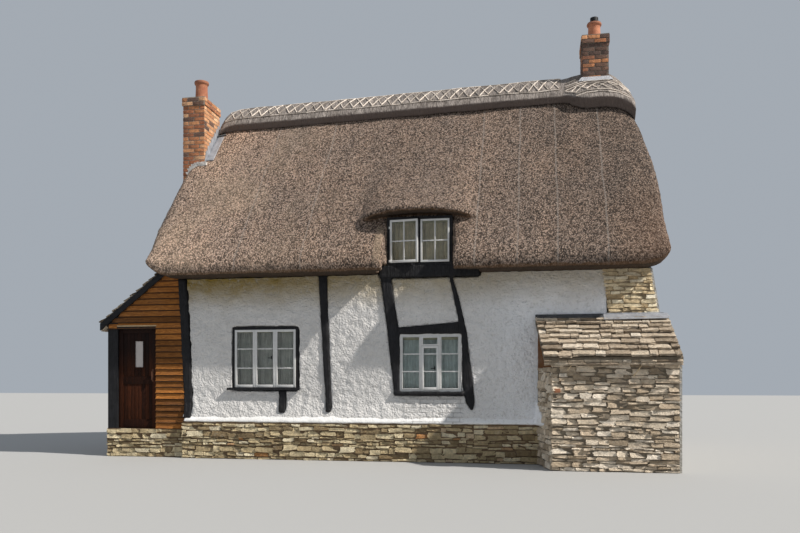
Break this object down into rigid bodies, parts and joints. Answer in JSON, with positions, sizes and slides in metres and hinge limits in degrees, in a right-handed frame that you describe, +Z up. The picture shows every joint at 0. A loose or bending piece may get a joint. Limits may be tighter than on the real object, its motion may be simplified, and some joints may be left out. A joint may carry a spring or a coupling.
{
  "type": "thatched cottage",
  "caption": "Timber-framed, limewashed cottage on a rubble plinth, with a long thatched roof, eyebrow windows, brick stacks, a slated bread oven and a boarded lean-to with a plank door.",
  "frame": {"origin": "on the ground, under the outer face of the front wall, near the middle of the front", "axes": "+X runs to the right along the front wall, +Y runs back into the house, +Z is up"},
  "size_m": [9.8316, 6.378, 8.3056],
  "materials": {
    "limewash": "limewashed roughcast",
    "rubble": "coursed rubble in lime mortar",
    "tarred_timber": "tarred oak",
    "thatch": "weathered reed thatch",
    "ridge": "straw ridge with hazel rods",
    "brick": "weathered red brick",
    "chimney_pot": "terracotta",
    "boards": "oiled weatherboard",
    "door_paint": "dark stained planks",
    "window_glass": "old glass",
    "iron": "black iron",
    "stone_slate": "stone slates",
    "floor": "worn boards",
    "white_paint": "white painted wood",
    "lead": "dull lead sheet"
  },
  "bodies": {
    "house": {"front_plinth": "rubble", "back_plinth": "rubble", "left_plinth": "rubble", "ground_floor": "floor", "upper_floor": "floor", "front_wall": "limewash", "corner_post": "tarred_timber", "middle_post": "tarred_timber", "stub_post": "tarred_timber", "bay_frame": "tarred_timber", "back_wall": "limewash", "back_frame": "tarred_timber", "left_wall_front": "limewash", "left_wall_rear": "limewash", "left_gable": "limewash", "right_gable": "rubble", "gable_render": "limewash", "left_window_frame": "tarred_timber", "left_window_glass": "window_glass", "right_window_frame": "tarred_timber", "right_window_glass": "window_glass", "upper_window_frame": "tarred_timber", "upper_window_glass": "window_glass", "back_window_frame": "tarred_timber", "back_window_glass": "window_glass", "back_upper_frame": "tarred_timber", "back_upper_glass": "window_glass", "thatch_front": "thatch", "thatch_back": "thatch", "ridge_cap": "ridge", "left_chimney": "brick", "left_chimney_pot": "chimney_pot", "right_chimney": "brick", "right_chimney_pot": "chimney_pot", "right_chimney_cowl": "iron", "bread_oven": "rubble", "oven_cheek": "boards", "oven_render": "limewash", "oven_roof": "stone_slate", "lean_to_base": "rubble", "lean_to_boards": "boards", "lean_to_head": "boards", "lean_to_rear_walls": "boards", "lean_to_post": "tarred_timber", "lean_to_roof": "stone_slate", "lean_to_barge": "tarred_timber"},
    "door": {"door_leaf": "door_paint", "door_pane": "window_glass", "door_latch": "iron"}
  },
  "joints": [
    {"name": "door_hinge", "type": "hinge", "parent": "house", "child": "door", "pos_m": [-5.47, 0.087, 1.4], "axis": [0, 0, 1], "range_deg": [0, 90]}
  ]
}
